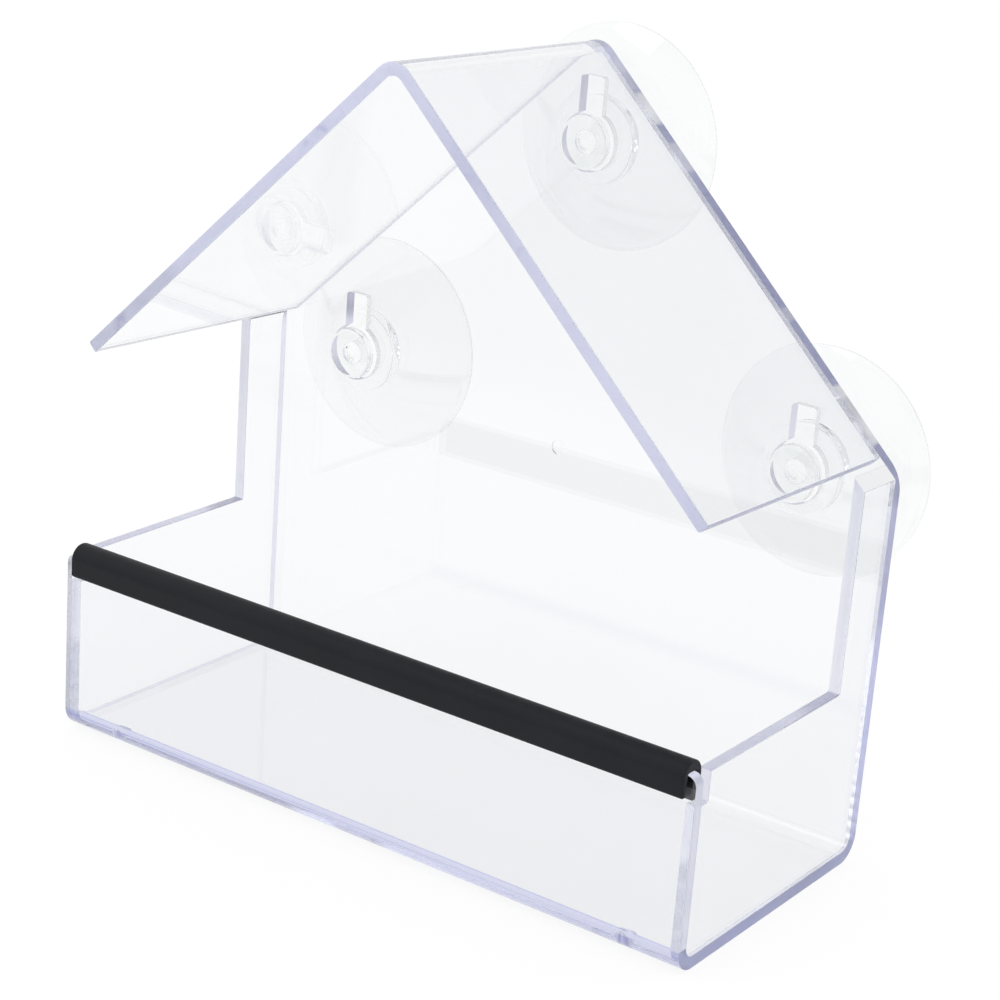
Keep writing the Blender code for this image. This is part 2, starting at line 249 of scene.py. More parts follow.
class FeederStudioSettings(bpy.types.PropertyGroup):
    """Camera, floor and light."""

    azimuth: angle_size("Azimuth", "Camera's turn round the feeder from its front", math.radians(34.4951))
    elevation: angle_size("Elevation", "Camera's height angle", math.radians(19.1445))
    roll: angle_size("Roll", "Camera's tilt about its own axis", math.radians(4.3405))
    distance: length_size("Distance", "Camera's distance from its target", 0.50848)
    target: position("Target", "Point that the camera looks at", (0.000156, 0.010584, 0.059465))
    lens: camera_size("Lens", "Focal length of the camera", 92.867)
    frame_width: camera_size("Frame width", "Width of the camera's frame", 36.0)
    near_limit: length_size("Near limit", "Closest thing that the camera shows", 0.01)
    world_level: amount("World level", "Light that the room gives to matt surfaces", 0.92)
    ceiling_level: amount("Ceiling level", "Brightness of the room overhead, as reflected", 0.8)
    ceiling_start: amount("Ceiling start", "How far up the room starts to turn greyer", 0.3)
    ceiling_full: amount("Ceiling full", "How far up the room is as grey as its ceiling", 0.95)
    lamp_power: amount("Lamp power", "Power of the overhead soft box in watts", 0.6, soft_max=50.0)
    lamp_width: length_size("Lamp width", "Width of the soft box", 0.4)
    lamp_length: length_size("Lamp length", "Length of the soft box", 0.3)
    lamp_place: position("Lamp place", "Middle of the soft box", (-0.25, -0.35, 0.7))
    lamp_aim: position("Lamp aim", "Point that the soft box faces", (0.0, 0.0, 0.05))
    floor_reach: length_size("Floor reach", "Reach of the floor from its middle to each side", 3.0)
    floor_drop: length_size("Floor drop", "Gap that keeps the floor off the feeder's underside", 0.0002)
    floor_light: amount("Floor light", "Light that falls on the open floor", 0.8)
    floor_colour: colour("Floor colour", "Colour of the floor as it lights the feeder", (0.88, 0.88, 0.88))
    shadow_depth: amount("Shadow depth", "Share of the floor's light that shadows can take", 0.13)
    # Painted reflection: as mirrored only, the floor in front is dark from table far to table end, fading to
    # white at table near and room start, for a darker room in front.
    far_colour: colour("Far colour", "Colour of the far floor, as mirrored", (0.2, 0.2, 0.2))
    table_near: length_size("Table near", "Where the floor in front, as mirrored, starts to darken", 0.10)
    table_far: length_size("Table far", "Where it is dark", 0.22)
    table_end: length_size("Table end", "Where it starts to be pale again", 0.45)
    room_start: length_size("Room start", "Where it is white again", 0.9)
    bounces: count("Bounces", "Turns that light may take inside the clear sheet", 512)


def rounded_path(corners, steps, closed=False):
    """Points of a path through corners (u, v, radius), each corner rounded by its radius."""
    points = []
    last = len(corners) - 1
    for index, (u, v, radius) in enumerate(corners):
        if radius == 0 or (not closed and index in (0, last)):
            points.append((u, v))
            continue
        corner = Vector((u, v))
        before = (Vector(corners[index - 1][:2]) - corner).normalized()
        after = (Vector(corners[0 if index == last else index + 1][:2]) - corner).normalized()
        half_angle = before.angle(after) / 2
        centre = corner + (before + after).normalized() * radius / math.sin(half_angle)
        arm = corner + before * radius / math.tan(half_angle) - centre
        sweep = math.pi - 2 * half_angle
        if before.x * after.y - before.y * after.x > 0:
            sweep = -sweep
        for step in range(steps + 1):
            spoke = Matrix.Rotation(sweep * step / steps, 2) @ arm
            points.append(tuple(centre + spoke))
    return points


def circle(radius, steps):
    turns = [2 * math.pi * step / steps for step in range(steps)]
    return [(radius * math.cos(turn), radius * math.sin(turn)) for turn in turns]


def add_loop(builder, points):
    return [builder.verts.new(point) for point in points]


def refinish(builder, finish, chosen):
    """Another finish for the faces that the test picks by middle, normal and present finish."""
    builder.normal_update()
    for face in builder.faces:
        if chosen(face.calc_center_median(), face.normal, face.material_index):
            face.material_index = finish


def bridge(builder, first, second, closed=False, finish=polished_face):
    """Faces between two rows of vertices of equal length, in the finish given."""
    total = len(first)
    for index in range(total if closed else total - 1):
        after = (index + 1) % total
        face = builder.faces.new((first[index], first[after], second[after], second[index]))
        face.material_index = finish


def prism(builder, first, second, finish=polished_face):
    """Closed body between two closed loops of equal length, capped at both ends."""
    first_loop = add_loop(builder, first)
    second_loop = add_loop(builder, second)
    bridge(builder, first_loop, second_loop, closed=True, finish=finish)
    builder.faces.new(first_loop)
    builder.faces.new(second_loop)


def bent_sheet(builder, outer, inner, place, finish):
    """Sheet between two skins, closed at both ends; its open first and last rows are returned."""
    rows = {}
    for end in (0, 1):
        rows["outer", end] = add_loop(builder, [place(point, end) for point in outer])
        rows["inner", end] = add_loop(builder, [place(point, end) for point in inner])
        bridge(builder, rows["outer", end], rows["inner", end], finish=finish)
    bridge(builder, rows["outer", 0], rows["outer", 1])
    bridge(builder, rows["inner", 0], rows["inner", 1])
    return [{key: row[index] for key, row in rows.items()} for index in (0, -1)]


def close_row(builder, row, finish):
    bridge(builder, [row["outer", 0], row["outer", 1]], [row["inner", 0], row["inner", 1]], finish=finish)


def raise_wall(builder, row, depths, outline):
    """Flat wall that carries on from an open row of a bent sheet, with an outline (x, z)."""
    skins = {}
    for skin, y in depths.items():
        arch = add_loop(builder, [(x, y, z) for x, z in outline])
        skins[skin] = [row[skin, 0], *arch, row[skin, 1]]
        builder.faces.new(skins[skin])
    bridge(builder, skins["outer"], skins["inner"], finish=body_edge)


def mark_edges(builder):
    """Every corner edge gets a bevel weight, or stays sharp where it is part of a welded seam."""
    weight = builder.edges.layers.float.new("bevel_weight_edge")
    for edge in builder.edges:
        if edge.calc_face_angle(0.0) > sharp_angle:
            if any(face.material_index == welded_seam for face in edge.link_faces):
                edge.smooth = False
            else:
                edge[weight] = 1.0


def add_object(name, builder, materials):
    """Object of the builder's faces, with its materials."""
    mesh = bpy.data.meshes.new(name)
    builder.to_mesh(mesh)
    builder.free()
    for material in materials:
        mesh.materials.append(material)
    item = bpy.data.objects.new(name, mesh)
    bpy.context.scene.collection.objects.link(item)
    return item


def new_piece(name, builder, materials, body, nodes):
    """Named, shaded object that rides on a body and stands for CAD nodes."""
    bmesh.ops.recalc_face_normals(builder, faces=builder.faces)
    for face in builder.faces:
        face.smooth = True
    mark_edges(builder)
    piece = add_object(name, builder, materials)
    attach(piece, body)
    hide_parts(*nodes)
    return piece


def round_edges(piece, width, segments=edge_segments, limit="ANGLE"):
    """Polished edges: a small bevel, with the flat faces kept flat in the shading."""
    bevel = piece.modifiers.new("polished_edges", "BEVEL")
    bevel.width = width
    bevel.segments = segments
    bevel.limit_method = limit
    bevel.angle_limit = sharp_angle
    bevel.miter_outer = "MITER_ARC"
    normals = piece.modifiers.new("flat_faces", "WEIGHTED_NORMAL")
    normals.mode = "FACE_AREA"
    normals.weight = large_face_weight
    normals.keep_sharp = True


def cut(piece, name, builder):
    """Hole of the builder's shape in the piece, its cutter removed afterwards."""
    bmesh.ops.recalc_face_normals(builder, faces=builder.faces)
    cutter = add_object(name, builder, piece.data.materials)
    modifier = piece.modifiers.new(name, "BOOLEAN")
    modifier.operation = "DIFFERENCE"
    modifier.solver = "EXACT"
    modifier.object = cutter
    with bpy.context.temp_override(object=piece, active_object=piece):
        bpy.ops.object.modifier_apply(modifier=name)
    bpy.data.objects.remove(cutter, do_unlink=True)


def add_node(tree, kind, x, y, **choices):
    node = tree.nodes.new(kind)
    node.location = (x, y)
    for key, value in choices.items():
        setattr(node, key, value)
    return node


def plug(tree, value, socket):
    """Feed a socket from another node's output, or give it a plain value."""
    if isinstance(value, bpy.types.NodeSocket):
        tree.links.new(value, socket)
    else:
        socket.default_value = value


def feed(tree, node, **values):
    """Feed a node's inputs, each named with underscores for spaces."""
    for key, value in values.items():
        plug(tree, value, node.inputs[key.replace("_", " ")])


def combine(tree, operation, first, second, x, y):
    """Sum, product or the like of two values, held between 0 and 1."""
    node = add_node(tree, "ShaderNodeMath", x, y, operation=operation, use_clamp=True)
    plug(tree, first, node.inputs[0])
    plug(tree, second, node.inputs[1])
    return node.outputs["Value"]


def spread(tree, source, x, y, low=0.0, high=1.0, to_low=0.0, to_high=1.0, steps="LINEAR"):
    """Value that goes from to_low to to_high as its source goes from low to high."""
    node = add_node(tree, "ShaderNodeMapRange", x, y, interpolation_type=steps)
    feed(tree, node, Value=source, From_Min=low, From_Max=high, To_Min=to_low, To_Max=to_high)
    return node.outputs["Result"]


def blend_colours(tree, mask, first, second, x, y):
    """Colour that goes from first to second as a mask goes from 0 to 1."""
    node = add_node(tree, "ShaderNodeMix", x, y, data_type="RGBA")
    feed(tree, node, Factor=mask, A=first, B=second)
    return node.outputs["Result"]


def opaque(colour):
    return (*colour, 1.0)


def one_axis(tree, space, axis, x, y):
    """One axis of a place, in the space given."""
    place = add_node(tree, "ShaderNodeTexCoord", x, y)
    parts = add_node(tree, "ShaderNodeSeparateXYZ", x + 200, y)
    feed(tree, parts, Vector=place.outputs[space])
    return parts.outputs[axis]


def noise(tree, place, scale, detail, x, y):
    node = add_node(tree, "ShaderNodeTexNoise", x, y)
    feed(tree, node, Vector=place, Scale=scale, Detail=detail)
    return node.outputs["Fac"]


def new_material(name, **values):
    """Material with one Principled shader and its plain values; returns it, its tree and shader."""
    material = bpy.data.materials.new(name)
    material.use_nodes = True
    tree = material.node_tree
    shader = tree.nodes["Principled BSDF"]
    feed(tree, shader, **values)
    return material, tree, shader


def handling_wear_group():
    """Hairline scuffs and faint smudges from handling, as a mask from 0 to 1."""
    group = bpy.data.node_groups.get("handling_wear")
    if group:
        return group
    group = bpy.data.node_groups.new("handling_wear", "ShaderNodeTree")
    for name, direction in (("Scuff Scale", "INPUT"), ("Smudge Scale", "INPUT"), ("Mask", "OUTPUT")):
        group.interface.new_socket(name=name, in_out=direction, socket_type="NodeSocketFloat")
    scales = add_node(group, "NodeGroupInput", -800, 0).outputs
    place = add_node(group, "ShaderNodeTexCoord", -800, 300).outputs["Object"]
    stretch = add_node(group, "ShaderNodeMapping", -600, 300)
    feed(group, stretch, Vector=place, Rotation=scuff_turn, Scale=scuff_stretch)
    scuffs = noise(group, stretch.outputs["Vector"], scales["Scuff Scale"], scuff_detail, -400, 300)
    smudges = noise(group, place, scales["Smudge Scale"], smudge_detail, -400, -100)
    scuffed = spread(group, scuffs, -200, 300, *scuff_band)
    smudged = spread(group, smudges, -200, -100, *smudge_band, to_high=smudge_share)
    result = add_node(group, "NodeGroupOutput", 200, 0)
    feed(group, result, Mask=combine(group, "ADD", scuffed, smudged, 0, 100))
    return group


def wear_mask(tree, x, y, scuff_scale, smudge_scale):
    """Mask of the handling wear, at the scales of one surface."""
    node = add_node(tree, "ShaderNodeGroup", x, y, node_tree=handling_wear_group())
    feed(tree, node, Scuff_Scale=scuff_scale, Smudge_Scale=smudge_scale)
    return node.outputs["Mask"]


def worn_material(name, colour, dulling, roughness, worn_roughness, wear, **values):
    """Material that goes from fresh to worn, in colour and in roughness, where it was handled."""
    material, tree, shader = new_material(name, Metallic=0.0, **values)
    mask = wear_mask(tree, -600, 0, *wear)
    worn_colour = [channel * dulling for channel in colour]
    tint = blend_colours(tree, mask, opaque(colour), opaque(worn_colour), -300, 200)
    rough = spread(tree, mask, -300, -50, to_low=roughness, to_high=worn_roughness)
    feed(tree, shader, Base_Color=tint, Roughness=rough)
    return material, tree, shader


def polished_material(name, colour):
    """Polished clear face with faint scuffs and smudges."""
    worn_material(name, colour, sheet_dulling, 0.0, sheet_worn_roughness, sheet_wear,
                  Transmission_Weight=1.0, IOR=bpy.context.scene.feeder_sheet.index)


def flare_mask(tree, x, y):
    """Mask along the gable's slope: the stretches where its edge passes on light from behind."""
    levels = []
    for bottom, top, share in gable_flares:
        levels += [(bottom - flare_fade, flare_rest), (bottom, share)]
        levels += [(top, share), (top + flare_fade, flare_rest)]
    low, high = levels[0][0], levels[-1][0]
    ramp = add_node(tree, "ShaderNodeValToRGB", x + 600, y)
    stops = ramp.color_ramp.elements
    for index, (level, share) in enumerate(levels):
        along = (level - low) / (high - low)
        stop = stops[index] if index < len(stops) else stops.new(along)
        stop.position = along
        stop.color = opaque((share, share, share))
    height = spread(tree, one_axis(tree, "Object", "Z", x, y), x + 400, y, low, high)
    feed(tree, ramp, Fac=height)
    return ramp.outputs["Color"]


def edge_material(name, colour, patch_colour, roughness, wear, clarity=1.0, flared=False):
    """Cut edge, a little cloudy, in painted light and shade: its own level from outside, in patches of
    another level or of painted glints, and paler where seen from inside the sheet.
    """
    sheet = bpy.context.scene.feeder_sheet
    _, tree, shader = new_material(name, Metallic=0.0, Transmission_Weight=clarity, IOR=sheet.index)
    mask = wear_mask(tree, -900, 0, *wear)
    patches = flare_mask(tree, -1700, 300) if flared else mask
    outside = blend_colours(tree, patches, opaque(colour), opaque(patch_colour), -600, 200)
    # Painted light: backfacing, that is seen from inside the sheet, the edge turns to the paler inside
    # colour.
    sides = add_node(tree, "ShaderNodeNewGeometry", -600, 500).outputs["Backfacing"]
    tint = blend_colours(tree, sides, outside, opaque(sheet.inside_colour), -300, 200)
    rough = spread(tree, mask, -300, -50, to_low=roughness, to_high=roughness * edge_roughening)
    feed(tree, shader, Base_Color=tint, Roughness=rough)


def sheet_materials():
    """Materials of a clear sheet, in the order of the finishes, built once."""
    sheet = bpy.context.scene.feeder_sheet
    rough = sheet.edge_roughness
    if finish_names[0] not in bpy.data.materials:
        polished_material("polished_sheet", sheet.face_colour)
        # Polished face in the bend's painted shade.
        polished_material("bent_sheet", sheet.bend_colour)
        # Cut edges: each place gets its own painted level of light and shade, in patches of another level.
        edge_material("welded_seam", sheet.seam_colour, sheet.tray_colour, sheet.seam_roughness,
                      fine_edge_wear)
        edge_material("tall_panel_edge", sheet.tall_colour, sheet.tray_colour, rough, fine_edge_wear)
        # The side panels' tops: near white and nearly opaque, painted light.
        edge_material("pale_panel_top", sheet.top_colour, sheet.seam_colour, rough, fine_edge_wear,
                      clarity=sheet.top_clarity)
        edge_material("tray_edge", sheet.tray_colour, sheet.roof_colour, rough, fine_edge_wear)
        edge_material("roof_edge", sheet.roof_colour, sheet.body_colour, rough, broad_edge_wear)
        edge_material("body_edge", sheet.body_colour, sheet.gable_colour, rough, broad_edge_wear)
        edge_material("floor_edge", sheet.floor_edge_colour, sheet.gable_colour, rough, broad_edge_wear)
        edge_material("gable_edge", sheet.gable_colour, sheet.flare_colour, rough, gable_wear, flared=True)
    return [bpy.data.materials[name] for name in finish_names]


def clear_cup_material():
    """Soft clear plastic of the cups, built once: glossy, slightly cloudy, with handling smudges."""
    cup = bpy.context.scene.feeder_cup
    if "soft_clear_plastic" not in bpy.data.materials:
        worn_material("soft_clear_plastic", cup.colour, cup_dulling, cup.roughness,
                      cup.roughness * cup_roughening, cup_wear, Transmission_Weight=1.0, IOR=cup.index)
    return bpy.data.materials["soft_clear_plastic"]


def black_cover_material():
    """Matt black soft plastic with a fine grain and paler rubbed spots."""
    cover = bpy.context.scene.feeder_cover
    material, tree, shader = worn_material(
        "matt_black_plastic", cover.colour, cover_rubbing, cover.roughness,
        cover.roughness * cover_roughening, cover_wear, Specular_IOR_Level=cover.specular)
    place = add_node(tree, "ShaderNodeTexCoord", -900, -400).outputs["Object"]
    grain = noise(tree, place, cover.grain_scale, grain_detail, -600, -400)
    bump = add_node(tree, "ShaderNodeBump", -300, -400)
    feed(tree, bump, Strength=cover.grain_strength, Distance=cover.grain_depth, Height=grain)
    feed(tree, shader, Normal=bump.outputs["Normal"])
    return material


def floor_material():
    """White floor that keeps shadows and looks white to the camera and through clear plastic; in what the
    clear pieces mirror, a band of it in front is painted dark, a painted reflection of a darker room.
    """
    studio = bpy.context.scene.feeder_studio
    material, tree, shader = new_material("white_floor", Roughness=1.0, Specular_IOR_Level=0.0,
                                          Emission_Color=white)
    depth = one_axis(tree, "Object", "Y", -1500, -300)
    near = spread(tree, depth, -1100, -300, -studio.table_far, -studio.table_near, steps="SMOOTHSTEP")
    beyond = spread(tree, depth, -1100, -600, -studio.room_start, -studio.table_end, 1.0, 0.0, "SMOOTHSTEP")
    rays = add_node(tree, "ShaderNodeLightPath", -1500, 100).outputs
    # Painted reflection: mirrored rays that meet the band in front see it dark.
    pale = combine(tree, "MAXIMUM", near, beyond, -1000, -450)
    pale_mirror = combine(tree, "MULTIPLY", rays["Is Glossy Ray"], pale, -900, -200)
    dark_mirror = combine(tree, "SUBTRACT", rays["Is Glossy Ray"], pale_mirror, -700, -200)
    through = combine(tree, "ADD", rays["Is Camera Ray"], rays["Is Transmission Ray"], -900, 100)
    shown = combine(tree, "ADD", through, pale_mirror, -700, 100)
    glow = combine(tree, "MULTIPLY", shown, 1.0 - studio.floor_light * studio.shadow_depth, -300, 0)
    shadowed = opaque((studio.shadow_depth,) * 3)
    lit = blend_colours(tree, shown, opaque(studio.floor_colour), shadowed, -500, 300)
    seen = blend_colours(tree, dark_mirror, lit, opaque(studio.far_colour), -300, 300)
    feed(tree, shader, Base_Color=seen, Emission_Strength=glow)
    return material


def sharp_ridge_height(y):
    """Height of the ridge without its rounding at a depth y; it falls evenly from front to back."""
    sheet = bpy.context.scene.feeder_sheet
    share = (y - roof_low.y) / (roof_high.y - roof_low.y)
    ridge = roof_high.z + (sheet_high.z - roof_high.z) * share
    return ridge + sheet.ridge_radius * (1 / math.cos(sheet.pitch) - 1)


def roof_plane_height(x, y):
    """Height of the roof's upper face over a place (x, y), without the ridge rounding."""
    return sharp_ridge_height(y) - abs(x) * math.tan(bpy.context.scene.feeder_sheet.pitch)


class FEEDER_OT_body_sheet(bpy.types.Operator):
    """Bend the clear sheet into front wall, floor and gabled back wall, and cut its holes"""

    bl_idname = "feeder.body_sheet"
    bl_label = "Body sheet"

    def execute(self, context):
        sheet = context.scene.feeder_sheet
        holes = context.scene.feeder_holes
        half_width = sheet_high.x
        front, back = sheet_low.y, sheet_high.y
        front_inside, back_inside = front + sheet.thickness, back - sheet.thickness
        inner_radius = sheet.bend_radius - sheet.thickness
        gable_ridge = sharp_ridge_height(roof_high.y)
        eave = roof_plane_height(half_width, roof_high.y)
        outer = rounded_path([(front, eave, 0), (front, 0.0, sheet.bend_radius),
                              (back, 0.0, sheet.bend_radius), (back, eave, 0)], sheet.bend_steps)[1:-1]
        inner = rounded_path([(front_inside, eave, 0), (front_inside, sheet.thickness, inner_radius),
                              (back_inside, sheet.thickness, inner_radius), (back_inside, eave, 0)],
                             sheet.bend_steps)[1:-1]
        builder = bmesh.new()
        front_row, back_row = bent_sheet(
            builder, outer, inner, lambda point, end: (half_width * (2 * end - 1), *point), floor_edge)
        front_wall = rounded_path([
            (-half_width, 0.0, 0), (-half_width, sheet.front_height, sheet.front_corner),
            (half_width, sheet.front_height, sheet.front_corner), (half_width, 0.0, 0),
        ], sheet.corner_steps)[1:-1]
        gable = rounded_path([
            (-half_width, 0.0, 0), (-half_width, eave, sheet.eave_corner),
            (0.0, gable_ridge, sheet.ridge_radius),
            (half_width, eave, sheet.eave_corner), (half_width, 0.0, 0),
        ], sheet.bend_steps)[1:-1]
        raise_wall(builder, front_row, {"outer": front, "inner": front_inside}, front_wall)
        raise_wall(builder, back_row, {"outer": back, "inner": back_inside}, gable)
        bend_top = painted_bend_share * sheet.bend_radius
        slope_start = eave - sheet.eave_corner
        # The front bend's underside gets the painted shade of the bend colour.
        refinish(builder, floor_bend, lambda middle, normal, finish:
                 finish == polished_face and middle.z < bend_top and middle.y < 0.0
                 and abs(normal.y) > painted_bend_facing)
        # Painted light and shade: the front wall's rim takes the tray edge's level and the gable's slopes
        # the gable's level; the back wall's upright edges keep the body edge's level, the floor's ends the
        # floor edge's.
        refinish(builder, tray_edge, lambda middle, normal, finish:
                 finish == body_edge and middle.y < front_inside and middle.z > sheet.bend_radius)
        refinish(builder, gable_edge, lambda middle, normal, finish:
                 finish == body_edge and middle.z > slope_start)
        piece = new_piece("clear_body_sheet", builder, sheet_materials(), "house",
                          ["body_sheet"])
        cut(piece, "keyholes", self.keyholes(sheet, holes, back_inside, back))
        cut(piece, "drain_holes", self.drain_holes(sheet, holes, half_width, front))
        cut(piece, "gate_mark", self.gate_mark(sheet, holes, back_inside))
        round_edges(piece, sheet.edge_round)
        return {"FINISHED"}

    def keyholes(self, sheet, holes, near, far):
        half_slot = holes.slot_width / 2
        mouth = math.acos(half_slot / holes.keyhole_radius)
        outline = []
        for step in range(holes.hole_steps + 1):
            angle = math.pi - mouth + (math.pi + 2 * mouth) * step / holes.hole_steps
            outline.append((holes.keyhole_radius * math.cos(angle), holes.keyhole_radius * math.sin(angle)))
        outline += rounded_path([
            (half_slot, 0.0, 0), (half_slot, holes.slot_reach, holes.slot_corner),
            (-half_slot, holes.slot_reach, holes.slot_corner), (-half_slot, 0.0, 0),
        ], sheet.corner_steps)[1:-1]
        builder = bmesh.new()
        for low, high in cup_boxes.values():
            middle = (low + high) / 2
            loops = [[(middle.x + u, y, middle.z + v) for u, v in outline]
                     for y in (near - sheet.thickness, far + sheet.thickness)]
            # The keyhole walls take the tray edge's painted level of light and shade.
            prism(builder, *loops, finish=tray_edge)
        return builder

    def drain_holes(self, sheet, holes, half_width, front):
        builder = bmesh.new()
        for side in (-1, 1):
            x = side * (half_width - holes.drain_side)
            y = front + holes.drain_front
            loops = [[(x + u, y + v, z) for u, v in circle(holes.drain_radius, holes.hole_steps)]
                     for z in (-sheet.thickness, sheet.bend_radius + sheet.thickness)]
            # The drain hole walls take the roof edge's painted level of light and shade.
            prism(builder, *loops, finish=roof_edge)
        return builder

    def gate_mark(self, sheet, holes, back_inside):
        builder = bmesh.new()
        outline = circle(holes.gate_radius, holes.hole_steps)
        prism(builder, *[[(u, y, holes.gate_height + v) for u, v in outline]
                         for y in (back_inside - sheet.thickness, back_inside + holes.gate_depth)])
        return builder


class FEEDER_OT_side_panels(bpy.types.Operator):
    """Set the two clear side panels between the front and back walls"""

    bl_idname = "feeder.side_panels"
    bl_label = "Side panels"

    def execute(self, context):
        sheet = context.scene.feeder_sheet
        for name, side in (("left_side_panel", -1), ("right_side_panel", 1)):
            low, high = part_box(name)
            reach = sheet.seam_gap + sheet.weld
            front, back, bottom = low.y - reach, high.y + reach, low.z - reach
            radius = sheet.bend_radius - sheet.thickness + sheet.weld
            tall_front = high.y - sheet.tall_depth
            notch_back = cover_high.y + sheet.seam_gap
            notch_floor = cover_low.z - sheet.seam_gap
            loops = []
            for x in (sheet_high.x - sheet.thickness, sheet_high.x):
                path = rounded_path([
                    (front, notch_floor, 0), (front, bottom, radius), (back, bottom, radius),
                    (back, roof_plane_height(x, high.y), 0),
                    (tall_front, roof_plane_height(x, tall_front), 0),
                    (tall_front, sheet.front_height, 0), (notch_back, sheet.front_height, 0),
                    (notch_back, notch_floor, 0),
                ], sheet.corner_steps, closed=True)
                loops.append([(side * x, y, z) for y, z in path])
            builder = bmesh.new()
            # The side panels' edges take the tall edge's pale painted level of light.
            prism(builder, *loops, finish=tall_edge)
            refinish(builder, tray_edge, lambda middle, normal, finish:
                     finish == tall_edge and abs(middle.z - sheet.front_height) < sheet.weld)
            # The tops get the near-white painted-light look.
            refinish(builder, tall_top, lambda middle, normal, finish:
                     finish == tall_edge and middle.z > sheet.front_height
                     and abs(normal.z) > pale_top_facing)
            refinish(builder, welded_seam, lambda middle, normal, finish: finish == tall_edge and (
                     middle.z < low.z + radius or middle.y < low.y or middle.y > high.y))
            piece = new_piece(f"clear_{name}", builder, sheet_materials(), "house", [name])
            round_edges(piece, sheet.edge_round, limit="WEIGHT")
        return {"FINISHED"}


class FEEDER_OT_roof(bpy.types.Operator):
    """Bend the clear roof along its ridge"""

    bl_idname = "feeder.roof"
    bl_label = "Roof"

    def execute(self, context):
        sheet = context.scene.feeder_sheet
        slope_x, slope_z = math.sin(sheet.pitch), math.cos(sheet.pitch)
        eave_x = roof_high.x
        eave_z = roof_plane_height(eave_x, roof_low.y)
        inner_x, inner_z = eave_x - sheet.thickness * slope_x, eave_z - sheet.thickness * slope_z
        ridge = sharp_ridge_height(roof_low.y)
        outer = rounded_path([(-eave_x, eave_z, 0), (0.0, ridge, sheet.ridge_radius), (eave_x, eave_z, 0)],
                             sheet.bend_steps)
        inner = rounded_path([(-inner_x, inner_z, 0),
                              (0.0, ridge - sheet.thickness / slope_z, sheet.ridge_radius - sheet.thickness),
                              (inner_x, inner_z, 0)], sheet.bend_steps)
        fall = roof_high.z - sheet_high.z
        weld_back = roof_high.y + sheet.seam_gap + sheet.weld
        ends = ((roof_low.y, 0.0), (weld_back, fall))
        builder = bmesh.new()
        # The roof's edges take the roof edge's painted level of light and shade.
        for row in bent_sheet(builder, outer, inner,
                              lambda point, end: (point[0], ends[end][0], point[1] - ends[end][1]),
                              roof_edge):
            close_row(builder, row, roof_edge)
        refinish(builder, welded_seam, lambda middle, normal, finish: middle.y > roof_high.y)
        piece = new_piece("clear_roof", builder, sheet_materials(), "house", ["roof"])
        round_edges(piece, sheet.edge_round, limit="WEIGHT")
        return {"FINISHED"}


class FEEDER_OT_perch_cover(bpy.types.Operator):
    """Push the black perch cover over the front wall"""

    bl_idname = "feeder.perch_cover"
    bl_label = "Perch cover"

    def execute(self, context):
        sheet = context.scene.feeder_sheet
        cover = context.scene.feeder_cover
        channel = sheet.thickness / 2 + cover.clearance
        outer = channel + cover.wall
        centre_y = (cover_low.y + cover_high.y) / 2
        centre_z = cover_high.z - outer
        steps = sheet.bend_steps
        foot = cover.wall / 2
        half_turn = [math.pi * step / steps for step in range(steps + 1)]
        path = [(centre_y + outer * math.cos(turn), centre_z + outer * math.sin(turn)) for turn in half_turn]
        legs = []
        for side, leg in ((-1, cover.front_leg), (1, cover.back_leg)):
            foot_y = centre_y + side * (channel + foot)
            legs.append([(foot_y - foot * math.cos(turn), centre_z - leg + foot - foot * math.sin(turn))
                         for turn in half_turn])
        ceiling = cover_high.z - cover.crown
        path += legs[0] + [(centre_y - channel, ceiling), (centre_y + channel, ceiling)] + legs[1]
        builder = bmesh.new()
        ends = (cover_low.x + cover.end_trim, cover_high.x - cover.end_trim)
        prism(builder, *[[(x + cover.side_shift, y, z) for y, z in path] for x in ends])
        piece = new_piece("black_perch_cover", builder, [black_cover_material()], "house",
                          ["perch_cover"])
        round_edges(piece, cover.end_round, cover_end_segments)
        return {"FINISHED"}


